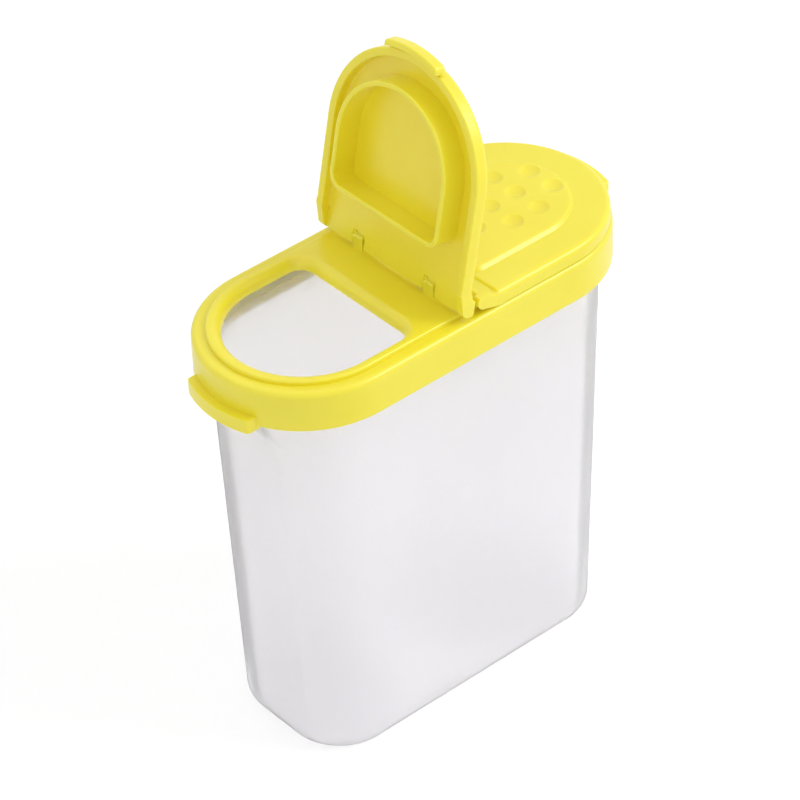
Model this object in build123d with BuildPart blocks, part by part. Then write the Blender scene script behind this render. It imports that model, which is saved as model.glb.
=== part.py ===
"""Double spice jar: a frosted container under a lid with a pouring flap and a shaker flap.

Millimetres, +Z up, +X along the jar towards the shaker end. The origin is the middle of the
underside. The pouring flap is drawn open and the shaker flap closed.
"""
import os
from math import atan2, cos, radians, sin

from build123d import *

# Lid
lid_length = 100.0
lid_width = 46.1
lid_wall = 1.6
lid_deck = 1.6
lid_top_edge = 1.2
lid_bottom_edge = 0.4
ledge_height = 101.8
skirt_depth = 9.4

# Raised land inside the ledge that carries the flaps
land_inset = 3.0
land_rise = 1.0
land_edge = 0.5

# Pouring throat, a D with its round end towards the lid's end
throat_end_gap = 1.1
throat_side_gap = 1.85
throat_straight = 13.2
throat_corner = 3.4
throat_edge = 2.2

# Shaker holes in rows across the lid, the last row at the lid's end
shaker_rows = [2, 3, 3, 2]
shaker_pitch = 7.2
shaker_end_inset = 12.1
shaker_hole = 2.1
shaker_hole_edge = 0.3

# Pull tab on the pouring end of the skirt
lid_tab_reach = 2.1
lid_tab_half_width = 9.6
lid_tab_height = 3.2
lid_tab_drop = 0.7
lid_tab_corner = 1.0

# Container, set in from the lid's outline and down from the ledge
base_end_inset = 9.75
base_side_inset = 4.425
base_corner = 12.8
base_edge = 3.5
shoulder_end_inset = 7.0
shoulder_corner = 13.9
shoulder_depth = 17.8
end_overhang = 3.55
side_overhang = 2.45
wall = 1.4
floor_thickness = 1.5
neck_depth = 8.4
neck_step = 0.6
neck_wall = 1.0
neck_lip_wall = 0.65
neck_lip_depth = 3.6
neck_edge = 0.2
seat_gap = 0.1

# Flat panel sunk into each end of the container
panel_half_width = 9.8
panel_depth_low = 0.6
panel_depth_high = 0.35
panel_over_shoulder = 1.0
panel_corner = 6.0

# Sealing ring under the lid, round the outside of the neck
seal_clearance = 0.25
seal_wall = 0.8
seal_depth = 4.0

# Hinges: a bar along each flap turns in two posts that stand on the land
hinge_rise = 2.2
post_middle = 11.0
post_width = 3.0
post_rise = 1.2
post_edge = 0.6
post_gap = 0.3
bar_radius = 0.65
bar_clearance = 0.06
tongue_reach = 1.6
tongue_lap = 0.6
notch_reach = 1.8
ear_inset = 2.15
ear_gap = 0.3
ear_land_gap = 0.25
open_angle = 102.0

# Flaps, heights taken from the hinge axis
flap_inset = 0.45
flap_start = 3.1
flap_top = 0.4
flap_plate = 1.3
flap_wall = 1.9
flap_foot_gap = 0.1
flap_edge = 1.2
flap_corner = 0.8
rim_edge = 0.3
channel_root = 0.7

# Raised panel on the flaps
panel_rise = 0.8
panel_inset = 8.1
panel_slope = 45.0
panel_edge = 0.6
shaker_panel_start = 3.8
pour_panel_start = 13.9
panel_round = 2.5

# Thumb tab at the free end of the flaps
thumb_reach = 2.1
thumb_half_width = 7.8
thumb_shelf = 0.4
thumb_thickness = 0.9
thumb_drop = 1.4
thumb_gap = 0.3
thumb_corner = 1.1
thumb_edge = 0.4

# Plug on the pouring flap
plug_clearance = 0.4
plug_wall = 1.1
plug_depth = 5.4
plug_taper = 1.5
plug_edge = 0.35
plug_recess = 0.5

# Pegs on the shaker flap, with a dimple over each
peg_clearance = 0.1
peg_depth = 3.8
peg_taper = 13.0
peg_edge = 0.3
dimple_radius = 2.3
dimple_depth = 0.8
dimple_edge = 0.5

# Sizes that follow
lid_half = lid_length / 2
lid_side = lid_width / 2
skirt_bottom = ledge_height - skirt_depth
land_top = ledge_height + land_rise
deck_under = ledge_height - lid_deck
top_length = lid_length - 2 * end_overhang
top_width = lid_width - 2 * side_overhang
base_length = lid_length - 2 * base_end_inset
base_width = lid_width - 2 * base_side_inset
shoulder_length = lid_length - 2 * shoulder_end_inset
shoulder_height = ledge_height - shoulder_depth
neck_start = ledge_height - neck_depth
panel_top = shoulder_height + panel_over_shoulder
neck_top = deck_under - seat_gap
mid_width = base_width + (top_width - base_width) * shoulder_height / neck_start
neck_length = top_length - 2 * neck_step
neck_width = top_width - 2 * neck_step
seal_length = neck_length + 2 * (seal_clearance + seal_wall)
seal_width = neck_width + 2 * (seal_clearance + seal_wall)
throat_end = neck_length / 2 - neck_wall - throat_end_gap
throat_side = neck_width / 2 - neck_wall - throat_side_gap
hinge_height = land_top + hinge_rise
ear_radius = hinge_rise - ear_land_gap
hinge_offset = ear_radius + ear_gap / 2
flap_reach = lid_half - flap_inset - hinge_offset
flap_side = lid_side - flap_inset
flap_foot = ledge_height + flap_foot_gap - hinge_height
flap_under = flap_top - flap_plate
panel_height = flap_top + panel_rise
ear_inside = lid_side - ear_inset
peg_root = shaker_hole - peg_clearance
stadium_slack = 0.05
height_slack = 0.05

pour_side = Plane(origin=(0, 0, 0), x_dir=(-1, 0, 0), z_dir=(0, 0, 1))
opened = radians(open_angle)
pour_frame = Plane(
    origin=(-hinge_offset, 0, hinge_height),
    x_dir=(-cos(opened), 0, sin(opened)),
    z_dir=(sin(opened), 0, cos(opened)),
)
shaker_frame = Plane(origin=(hinge_offset, 0, hinge_height), x_dir=(1, 0, 0), z_dir=(0, 0, 1))

shaker_start = lid_half - shaker_end_inset - (len(shaker_rows) - 1) * shaker_pitch
shaker_points = [
    (shaker_start + row * shaker_pitch, (i - (count - 1) / 2) * shaker_pitch)
    for row, count in enumerate(shaker_rows)
    for i in range(count)
]


def d_shape(plane, start, end, side, corner):
    """A D on a plane: straight side at start, round end of radius side reaching end."""
    centre = end - side
    with BuildSketch(plane) as outline:
        with Locations((centre, 0)):
            Circle(side)
        with Locations(((start + centre) / 2, 0)):
            Rectangle(centre - start, 2 * side)
        with Locations((start - side, 0)):
            Rectangle(2 * side, 4 * side, mode=Mode.SUBTRACT)
        near = outline.vertices().group_by(Axis.X)[0]
        fillet(near, corner)
    return outline.sketch


def jar_section(height, length, width, corner):
    """One closed section of the container at a height."""
    with BuildSketch(Plane.XY.offset(height)) as section:
        RectangleRounded(length, width, corner)
    return section.sketch


def tab_shape(plane, end, side, reach, half_width, root, corner):
    """A thumb tab on a plane: a band along a round end, from root inside it to reach outside."""
    centre = end - side
    with BuildSketch(plane) as outline:
        with Locations((centre, 0)):
            Circle(side + reach)
        with Locations((centre + (side + reach) / 2, 0)):
            Rectangle(side + reach, 2 * half_width, mode=Mode.INTERSECT)
        tips = [v for v in outline.vertices() if v.X > centre + side / 2]
        fillet(tips, corner)
        with Locations((centre, 0)):
            Circle(side - root, mode=Mode.SUBTRACT)
    return outline.sketch


# Container: tapered, with round ends at the top and flatter ends below
outer_sections = [
    jar_section(0, base_length, base_width, base_corner),
    jar_section(shoulder_height, shoulder_length, mid_width, shoulder_corner),
    jar_section(neck_start, top_length, top_width, top_width / 2 - stadium_slack),
]
inner_top = neck_start - neck_wall
inner_sections = [
    jar_section(
        floor_thickness, base_length - 2 * wall, base_width - 2 * wall, base_corner - wall
    ),
    jar_section(
        shoulder_height, shoulder_length - 2 * wall, mid_width - 2 * wall, shoulder_corner - wall
    ),
    jar_section(
        inner_top, top_length - 2 * wall, top_width - 2 * wall, top_width / 2 - wall - stadium_slack
    ),
]
end_lean = atan2(shoulder_length / 2 - panel_depth_high - base_length / 2 + panel_depth_low,
                 shoulder_height)

with BuildPart() as container:
    loft(outer_sections, ruled=True)
    fillet(container.faces().sort_by(Axis.Z)[0].edges(), base_edge)
    for way in (-1, 1):
        end_plane = Plane(
            origin=(way * (base_length / 2 - panel_depth_low), 0, 0),
            x_dir=(0, way, 0),
            z_dir=(way * cos(end_lean), 0, -sin(end_lean)),
        )
        with BuildSketch(end_plane) as end_panel:
            with Locations((0, panel_top / 2 - base_edge)):
                Rectangle(2 * panel_half_width, panel_top + 2 * base_edge)
            fillet(end_panel.vertices().group_by(Axis.Y)[-1], panel_corner)
        extrude(amount=end_overhang, mode=Mode.SUBTRACT)
    with BuildSketch(Plane.XY.offset(neck_start)):
        RectangleRounded(neck_length, neck_width, neck_width / 2 - stadium_slack)
    extrude(amount=neck_top - neck_start)
    loft(inner_sections, ruled=True, mode=Mode.SUBTRACT)
    with BuildSketch(Plane.XY.offset(inner_top)):
        RectangleRounded(
            neck_length - 2 * neck_wall,
            neck_width - 2 * neck_wall,
            neck_width / 2 - neck_wall - stadium_slack,
        )
    extrude(amount=neck_top - inner_top, mode=Mode.SUBTRACT)
    with BuildSketch(Plane.XY.offset(neck_top)):
        RectangleRounded(
            neck_length - 2 * neck_lip_wall,
            neck_width - 2 * neck_lip_wall,
            neck_width / 2 - neck_lip_wall - stadium_slack,
        )
    extrude(amount=-neck_lip_depth, mode=Mode.SUBTRACT)
    fillet(container.faces().sort_by(Axis.Z)[-1].edges(), neck_edge)
container.part.label = "container"

# Lid base: skirt, deck, raised land, hinge posts, throat and shaker holes
with BuildPart() as lid_base:
    with BuildSketch(Plane.XY.offset(skirt_bottom)):
        SlotOverall(lid_length, lid_width)
    extrude(amount=ledge_height - skirt_bottom)
    fillet(lid_base.faces().sort_by(Axis.Z)[-1].edges(), lid_top_edge)
    fillet(lid_base.faces().sort_by(Axis.Z)[0].edges(), lid_bottom_edge)
    with BuildSketch(Plane.XY.offset(skirt_bottom)):
        SlotOverall(lid_length - 2 * lid_wall, lid_width - 2 * lid_wall)
    extrude(amount=deck_under - skirt_bottom, mode=Mode.SUBTRACT)
    lid_tab = tab_shape(pour_side.offset(skirt_bottom - lid_tab_drop), lid_half, lid_side, lid_tab_reach,
                        lid_tab_half_width, lid_wall / 2, lid_tab_corner)
    extrude(lid_tab, amount=lid_tab_height)
    with BuildSketch(Plane.XY.offset(deck_under)):
        SlotOverall(seal_length, seal_width)
        SlotOverall(seal_length - 2 * seal_wall, seal_width - 2 * seal_wall, mode=Mode.SUBTRACT)
    extrude(amount=-seal_depth)
    with BuildSketch(Plane.XY.offset(ledge_height)):
        SlotOverall(lid_length - 2 * land_inset, lid_width - 2 * land_inset)
    extrude(amount=land_rise)
    fillet(lid_base.faces().sort_by(Axis.Z)[-1].edges(), land_edge)
    throat = d_shape(pour_side.offset(deck_under), throat_straight, throat_end, throat_side,
                     throat_corner)
    extrude(throat, amount=land_top - deck_under, mode=Mode.SUBTRACT)
    throat_rim = lid_base.faces().sort_by(Axis.Z)[-1].inner_wires()[0].edges()
    fillet(throat_rim, throat_edge)
    with BuildSketch(Plane.XY.offset(land_top)):
        with Locations(*shaker_points):
            Circle(shaker_hole)
    extrude(amount=-(lid_deck + land_rise), mode=Mode.SUBTRACT)
    land_arcs = lid_base.faces().sort_by(Axis.Z)[-1].edges().filter_by(GeomType.CIRCLE)
    fillet(land_arcs.group_by(SortBy.RADIUS)[0], shaker_hole_edge)
    with BuildSketch(Plane.XY.offset(ledge_height)):
        with Locations((0, -post_middle), (0, post_middle)):
            Rectangle(2 * (hinge_offset + post_rise), post_width)
    extrude(amount=hinge_height + post_rise - ledge_height)
    fillet(lid_base.faces().group_by(Axis.Z)[-1].edges(), post_edge)
    with BuildSketch(Plane.XZ.offset(-lid_side)):
        with Locations((-hinge_offset, hinge_height), (hinge_offset, hinge_height)):
            Circle(bar_radius + bar_clearance)
    extrude(amount=lid_width, mode=Mode.SUBTRACT)
lid_base.part.label = "lid_base"


def flap_shell(flap, frame, panel_start):
    """Plate, walls, raised panel and thumb tab of a flap, in the flap's hinge frame."""
    up = Axis(frame.origin, frame.z_dir)
    foot = frame.offset(flap_foot)
    extrude(d_shape(foot, flap_start, flap_reach, flap_side, flap_corner),
            amount=flap_top - flap_foot)
    fillet(flap.faces().sort_by(up)[-1].edges(), flap_edge)
    hollow = d_shape(foot, flap_start - flap_wall, flap_reach - flap_wall,
                     flap_side - flap_wall, flap_corner)
    extrude(hollow, amount=flap_under - flap_foot, mode=Mode.SUBTRACT)
    plate = flap.faces().filter_by_position(up, flap_under - height_slack, flap_under + height_slack)
    along = Axis(frame.origin, frame.x_dir)
    fillet(plate.edges().sort_by(along)[1:], channel_root)
    fillet(flap.faces().sort_by(up)[0].edges(), rim_edge)
    panel = d_shape(frame.offset(flap_top), panel_start, lid_half - panel_inset - hinge_offset,
                    lid_side - panel_inset, panel_round)
    extrude(panel, amount=panel_rise, taper=panel_slope)
    fillet(flap.faces().sort_by(up)[-1].edges(), panel_edge)
    shelf = foot.offset(thumb_shelf)
    extrude(tab_shape(shelf, flap_reach, flap_side, thumb_reach, thumb_half_width,
                      flap_wall / 2, thumb_corner), amount=thumb_thickness)
    extrude(tab_shape(shelf, flap_reach, flap_side, thumb_reach, thumb_half_width,
                      -(flap_inset + thumb_gap), thumb_corner), amount=-(thumb_shelf + thumb_drop))
    thumb_face = flap.faces().sort_by(along)[-1]
    fillet(thumb_face.edges().filter_by(GeomType.CIRCLE), thumb_edge)


def flap_hinge(frame):
    """Hinge side of a flap: a tongue with notches for the posts, the bar across them and two ears."""
    with BuildSketch(frame.offset(flap_under)) as tongue:
        with Locations(((flap_start + tongue_lap - tongue_reach) / 2, 0)):
            Rectangle(flap_start + tongue_lap + tongue_reach, 2 * flap_side)
        with Locations(((notch_reach - tongue_reach) / 2, -post_middle),
                       ((notch_reach - tongue_reach) / 2, post_middle)):
            Rectangle(notch_reach + tongue_reach, post_width + 2 * post_gap, mode=Mode.SUBTRACT)
    extrude(tongue.sketch, amount=-flap_under)
    bar_plane = Plane(
        origin=frame.origin - frame.y_dir * flap_side,
        x_dir=frame.x_dir,
        z_dir=frame.y_dir,
    )
    with BuildSketch(bar_plane) as bar:
        Circle(bar_radius)
    extrude(bar.sketch, amount=2 * flap_side)
    for side in (-1, 1):
        ear_plane = Plane(
            origin=frame.origin + frame.y_dir * side * ear_inside,
            x_dir=frame.x_dir,
            z_dir=frame.y_dir * side,
        )
        ear_toe = flap_start + flap_corner
        ear_root = flap_start + flap_wall
        with BuildSketch(ear_plane) as ear:
            Circle(ear_radius)
            with BuildLine():
                Polyline(
                    (0, side * ear_radius),
                    (ear_toe, side * -flap_foot),
                    (ear_root, side * -flap_foot),
                    (ear_root, side * (flap_edge - flap_top)),
                    (0, side * -post_rise),
                    close=True,
                )
            make_face()
            with Locations((0, -side * (post_rise + ear_radius))):
                Rectangle(2 * ear_radius, 2 * ear_radius, mode=Mode.SUBTRACT)
        extrude(ear.sketch, amount=flap_side - ear_inside)


# Shaker flap: closed, with a peg and a dimple for each hole
with BuildPart() as shaker_flap:
    flap_shell(shaker_flap, shaker_frame, shaker_panel_start)
    pegs = [(x - hinge_offset, y) for x, y in shaker_points]
    with BuildSketch(shaker_frame.offset(flap_under)):
        with Locations(*pegs):
            Circle(peg_root)
    extrude(amount=-(peg_depth + flap_under), taper=peg_taper)
    ball = (dimple_radius ** 2 + dimple_depth ** 2) / (2 * dimple_depth)
    ball_height = panel_height - dimple_depth + ball
    with Locations(*[(hinge_offset + x, y, hinge_height + ball_height) for x, y in pegs]):
        Sphere(ball, mode=Mode.SUBTRACT)
    dimple_rims = shaker_flap.faces().sort_by(Axis.Z)[-1].inner_wires()
    fillet([rim.edges()[0] for rim in dimple_rims], dimple_edge)
    peg_end = hinge_height - peg_depth
    tips = shaker_flap.faces().filter_by_position(
        Axis.Z, peg_end - height_slack, peg_end + height_slack
    )
    fillet(tips.edges(), peg_edge)
    flap_hinge(shaker_frame)
shaker_flap.part.label = "shaker_flap"

# Pouring flap: open, with a plug that fits the throat
with BuildPart() as pour_flap:
    flap_shell(pour_flap, pour_frame, pour_panel_start)
    flap_hinge(pour_frame)
    plug_base = pour_frame.offset(flap_under)
    plug_outline = d_shape(
        plug_base,
        throat_straight + plug_clearance - hinge_offset,
        throat_end - plug_clearance - hinge_offset,
        throat_side - plug_clearance,
        throat_corner,
    )
    extrude(plug_outline, amount=-plug_depth, taper=plug_taper)
    plug_hollow = d_shape(
        pour_frame.offset(flap_under + plug_recess),
        throat_straight + plug_clearance + plug_wall - hinge_offset,
        throat_end - plug_clearance - plug_wall - hinge_offset,
        throat_side - plug_clearance - plug_wall,
        throat_corner - plug_wall,
    )
    extrude(plug_hollow, amount=-(plug_recess + plug_depth), taper=plug_taper, mode=Mode.SUBTRACT)
    plug_end = pour_flap.faces().sort_by(Axis(pour_frame.origin, pour_frame.z_dir))[0]
    fillet(plug_end.edges(), plug_edge)
pour_flap.part.label = "pour_flap"

os.makedirs("parts", exist_ok=True)
for piece in (container, lid_base, pour_flap, shaker_flap):
    export_step(piece.part, f"parts/{piece.part.label}.step")
    print(piece.part.label, round(piece.part.volume, 1), piece.part.bounding_box())
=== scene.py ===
"""Looks of the double spice jar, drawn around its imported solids.

Metres, in the part's own frame: +Z up, +X along the jar towards the shaker end.
"""
import math

import bpy
from mathutils import Matrix, Vector

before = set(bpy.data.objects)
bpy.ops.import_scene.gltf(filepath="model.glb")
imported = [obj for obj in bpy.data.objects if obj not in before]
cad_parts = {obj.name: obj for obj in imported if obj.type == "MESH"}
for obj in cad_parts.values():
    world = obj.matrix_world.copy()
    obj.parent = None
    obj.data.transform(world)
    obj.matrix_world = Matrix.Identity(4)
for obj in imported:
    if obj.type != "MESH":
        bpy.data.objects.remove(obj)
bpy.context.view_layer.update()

# Camera, at the photograph's view
view_azimuth = math.radians(-39.54)
view_elevation = math.radians(38.35)
view_roll = math.radians(-2.39)
view_target = Vector((0.0, 0.0, 0.055))
view_distance = 0.8898
view_slide = (-0.00251, 0.0099)
focal_pixels = 4194.0
picture_width = 800.0
sensor_width = 36.0

# Light
key_place = Vector((0.62, -0.62, 0.78))
key_size = 0.45
key_power = 4.4
fill_place = Vector((-0.75, -0.55, 0.55))
fill_size = 0.8
fill_power = 0.45
top_place = Vector((0.0, 0.25, 1.1))
top_size = 0.9
top_power = 1.0
light_target = Vector((0.0, 0.0, 0.07))
ambient_strength = 0.74
backdrop_strength = 1.0
backdrop_share = 1.0

# Floor
floor_size = 6.0
floor_low = (0.88, 0.88, 0.88)
floor_high = (0.9, 0.9, 0.9)
floor_cloud_scale = 3
floor_cloud_detail = 2
floor_roughness = 0.9
floor_specular = 0.0
floor_glow = 1.25
floor_share = 0.5

# Tint, the part of a noise's range over which a colour ramp runs
tint_start = 0.3
tint_end = 0.7

# Yellow plastic
yellow_low = (0.868, 0.762, 0.022)
yellow_high = (0.902, 0.796, 0.038)
yellow_flow_scale = 70
yellow_flow_detail = 3
yellow_grain_scale = 1400
yellow_grain_detail = 2
yellow_smoothest = 0.30
yellow_roughest = 0.42
yellow_grain_depth = 0.00006
yellow_grain_strength = 0.25
yellow_scatter = 0.55
yellow_scatter_reach = (1.0, 0.85, 0.25)
yellow_scatter_depth = 0.0016
yellow_ior = 1.5
yellow_specular = 0.8
yellow_sheen = 0.2
yellow_sheen_roughness = 0.35

# Frosted plastic, with little refraction, for thin milky walls
frosted_low = (0.952, 0.940, 0.964)
frosted_high = (0.966, 0.954, 0.976)
frosted_cloud_scale = 45
frosted_cloud_detail = 3
frosted_grain_scale = 2200
frosted_grain_detail = 3
frosted_smoothest = 0.66
frosted_roughest = 0.8
frosted_grain_depth = 0.00005
frosted_grain_strength = 0.3
frosted_scatter = 1.0
frosted_scatter_reach = (1.0, 0.95, 0.9)
frosted_scatter_depth = 0.008
frosted_transmission = 0.62
frosted_ior = 1.07


def new_material(name):
    """A material with an untouched Principled shader, its tree and that shader."""
    material = bpy.data.materials.new(name)
    material.use_nodes = True
    tree = material.node_tree
    return material, tree, tree.nodes["Principled BSDF"]


def noise(tree, place, scale, detail):
    """A noise texture in the object's own coordinates, scale in features per metre."""
    node = tree.nodes.new("ShaderNodeTexNoise")
    node.inputs["Scale"].default_value = scale
    node.inputs["Detail"].default_value = detail
    tree.links.new(place.outputs["Object"], node.inputs["Vector"])
    return node


def tint(tree, source, low_colour, high_colour):
    """A colour that runs from low_colour to high_colour as source rises."""
    node = tree.nodes.new("ShaderNodeValToRGB")
    node.color_ramp.elements[0].position = tint_start
    node.color_ramp.elements[0].color = (*low_colour, 1)
    node.color_ramp.elements[1].position = tint_end
    node.color_ramp.elements[1].color = (*high_colour, 1)
    tree.links.new(source, node.inputs["Fac"])
    return node


def spread(tree, source, low, high):
    """The 0 to 1 value of source as a value from low to high."""
    node = tree.nodes.new("ShaderNodeMapRange")
    node.inputs["To Min"].default_value = low
    node.inputs["To Max"].default_value = high
    tree.links.new(source, node.inputs["Value"])
    return node


def bump(tree, source, depth, strength):
    """A bump whose full height is depth metres."""
    node = tree.nodes.new("ShaderNodeBump")
    node.inputs["Distance"].default_value = depth
    node.inputs["Strength"].default_value = strength
    tree.links.new(source, node.inputs["Height"])
    return node


def mould_texture(tree, shader, place, scale, detail, gloss_range, depth, strength):
    """A fine grain that varies the shader's roughness and raises its surface."""
    grain = noise(tree, place, scale, detail)
    gloss = spread(tree, grain.outputs["Fac"], *gloss_range)
    tree.links.new(gloss.outputs["Result"], shader.inputs["Roughness"])
    texture = bump(tree, grain.outputs["Fac"], depth, strength)
    tree.links.new(texture.outputs["Normal"], shader.inputs["Normal"])


def scatter(shader, weight, reach, depth):
    """Light carried under the surface, reach by colour and depth in metres."""
    shader.inputs["Subsurface Weight"].default_value = weight
    shader.inputs["Subsurface Radius"].default_value = reach
    shader.inputs["Subsurface Scale"].default_value = depth


def yellow_plastic():
    """Satin yellow moulding: flow mottling, light carried under the surface, fine mould texture."""
    material, tree, shader = new_material("yellow_plastic")
    place = tree.nodes.new("ShaderNodeTexCoord")
    flow = noise(tree, place, yellow_flow_scale, yellow_flow_detail)
    colour = tint(tree, flow.outputs["Fac"], yellow_low, yellow_high)
    tree.links.new(colour.outputs["Color"], shader.inputs["Base Color"])
    gloss_range = (yellow_smoothest, yellow_roughest)
    mould_texture(tree, shader, place, yellow_grain_scale, yellow_grain_detail,
                  gloss_range, yellow_grain_depth, yellow_grain_strength)
    scatter(shader, yellow_scatter, yellow_scatter_reach, yellow_scatter_depth)
    shader.inputs["IOR"].default_value = yellow_ior
    shader.inputs["Specular IOR Level"].default_value = yellow_specular
    shader.inputs["Sheen Weight"].default_value = yellow_sheen
    shader.inputs["Sheen Roughness"].default_value = yellow_sheen_roughness
    return material


def frosted_plastic():
    """Frosted white moulding that lets light through: faint clouding and a fine matt texture."""
    material, tree, shader = new_material("frosted_plastic")
    place = tree.nodes.new("ShaderNodeTexCoord")
    cloud = noise(tree, place, frosted_cloud_scale, frosted_cloud_detail)
    colour = tint(tree, cloud.outputs["Fac"], frosted_low, frosted_high)
    tree.links.new(colour.outputs["Color"], shader.inputs["Base Color"])
    gloss_range = (frosted_smoothest, frosted_roughest)
    mould_texture(tree, shader, place, frosted_grain_scale, frosted_grain_detail,
                  gloss_range, frosted_grain_depth, frosted_grain_strength)
    scatter(shader, frosted_scatter, frosted_scatter_reach, frosted_scatter_depth)
    shader.inputs["Transmission Weight"].default_value = frosted_transmission
    shader.inputs["IOR"].default_value = frosted_ior
    return material


def seen_directly(tree, share):
    """Share for rays from the camera, from reflections and through clear parts, 0 for the rest."""
    rays = tree.nodes.new("ShaderNodeLightPath")
    total = rays.outputs["Is Camera Ray"]
    for kind in ("Is Glossy Ray", "Is Transmission Ray"):
        either = tree.nodes.new("ShaderNodeMath")
        either.operation = "MAXIMUM"
        tree.links.new(total, either.inputs[0])
        tree.links.new(rays.outputs[kind], either.inputs[1])
        total = either.outputs["Value"]
    scaled = tree.nodes.new("ShaderNodeMath")
    scaled.operation = "MULTIPLY"
    scaled.inputs[1].default_value = share
    tree.links.new(total, scaled.inputs[0])
    return scaled.outputs["Value"]


def floor_material():
    """Pale floor: floor_share of what is seen directly is its own white, the rest is lit and shaded."""
    material, tree, shader = new_material("floor_white")
    shader.inputs["Roughness"].default_value = floor_roughness
    shader.inputs["Specular IOR Level"].default_value = floor_specular
    place = tree.nodes.new("ShaderNodeTexCoord")
    cloud = noise(tree, place, floor_cloud_scale, floor_cloud_detail)
    colour = tint(tree, cloud.outputs["Fac"], floor_low, floor_high)
    tree.links.new(colour.outputs["Color"], shader.inputs["Base Color"])
    glow = tree.nodes.new("ShaderNodeEmission")
    glow.inputs["Strength"].default_value = floor_glow
    blend = tree.nodes.new("ShaderNodeMixShader")
    tree.links.new(seen_directly(tree, floor_share), blend.inputs["Fac"])
    tree.links.new(shader.outputs["BSDF"], blend.inputs[1])
    tree.links.new(glow.outputs["Emission"], blend.inputs[2])
    output = tree.nodes["Material Output"]
    tree.links.new(blend.outputs["Shader"], output.inputs["Surface"])
    return material


def make_floor():
    """A level floor under the jar."""
    half = floor_size / 2
    mesh = bpy.data.meshes.new("floor")
    corners = [(-half, -half, 0), (half, -half, 0), (half, half, 0), (-half, half, 0)]
    mesh.from_pydata(corners, [], [(0, 1, 2, 3)])
    mesh.materials.append(floor_material())
    floor = bpy.data.objects.new("floor", mesh)
    bpy.context.scene.collection.objects.link(floor)


def make_world():
    """White to the camera, to reflections and through clear parts, soft light for the rest."""
    world = bpy.data.worlds.new("studio")
    bpy.context.scene.world = world
    world.use_nodes = True
    tree = world.node_tree
    light = tree.nodes["Background"]
    light.inputs["Color"].default_value = (1, 1, 1, 1)
    light.inputs["Strength"].default_value = ambient_strength
    white = tree.nodes.new("ShaderNodeBackground")
    white.inputs["Color"].default_value = (1, 1, 1, 1)
    white.inputs["Strength"].default_value = backdrop_strength
    blend = tree.nodes.new("ShaderNodeMixShader")
    tree.links.new(seen_directly(tree, backdrop_share), blend.inputs["Fac"])
    tree.links.new(light.outputs["Background"], blend.inputs[1])
    tree.links.new(white.outputs["Background"], blend.inputs[2])
    tree.links.new(blend.outputs["Shader"], tree.nodes["World Output"].inputs["Surface"])


def make_lamp(name, place, size, power):
    """A square area lamp that points at the jar."""
    lamp = bpy.data.lights.new(name, "AREA")
    lamp.size = size
    lamp.energy = power
    holder = bpy.data.objects.new(name, lamp)
    bpy.context.scene.collection.objects.link(holder)
    holder.location = place
    holder.rotation_euler = (light_target - place).to_track_quat("-Z", "Y").to_euler()


def make_camera():
    """The camera at the photograph's angle and framing."""
    back = Vector((
        math.sin(view_azimuth) * math.cos(view_elevation),
        -math.cos(view_azimuth) * math.cos(view_elevation),
        math.sin(view_elevation),
    ))
    level = Vector((math.cos(view_azimuth), math.sin(view_azimuth), 0))
    rise = back.cross(level)
    right = level * math.cos(view_roll) + rise * math.sin(view_roll)
    up = rise * math.cos(view_roll) - level * math.sin(view_roll)
    place = view_target + right * view_slide[0] + up * view_slide[1] + back * view_distance
    data = bpy.data.cameras.new("camera")
    data.sensor_width = sensor_width
    data.lens = focal_pixels / picture_width * sensor_width
    camera = bpy.data.objects.new("camera", data)
    bpy.context.scene.collection.objects.link(camera)
    camera.matrix_world = Matrix((
        (right.x, up.x, back.x, place.x),
        (right.y, up.y, back.y, place.y),
        (right.z, up.z, back.z, place.z),
        (0, 0, 0, 1),
    ))
    bpy.context.scene.camera = camera


def dress(node, material):
    """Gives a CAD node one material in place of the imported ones."""
    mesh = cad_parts[node].data
    mesh.materials.clear()
    mesh.materials.append(material)


yellow = yellow_plastic()
frosted = frosted_plastic()
dress("container", frosted)
for node in ("lid_base", "pour_flap", "shaker_flap"):
    dress(node, yellow)

make_floor()
make_world()
make_lamp("key", key_place, key_size, key_power)
make_lamp("fill", fill_place, fill_size, fill_power)
make_lamp("top", top_place, top_size, top_power)
make_camera()
bpy.context.scene.view_settings.view_transform = "Standard"
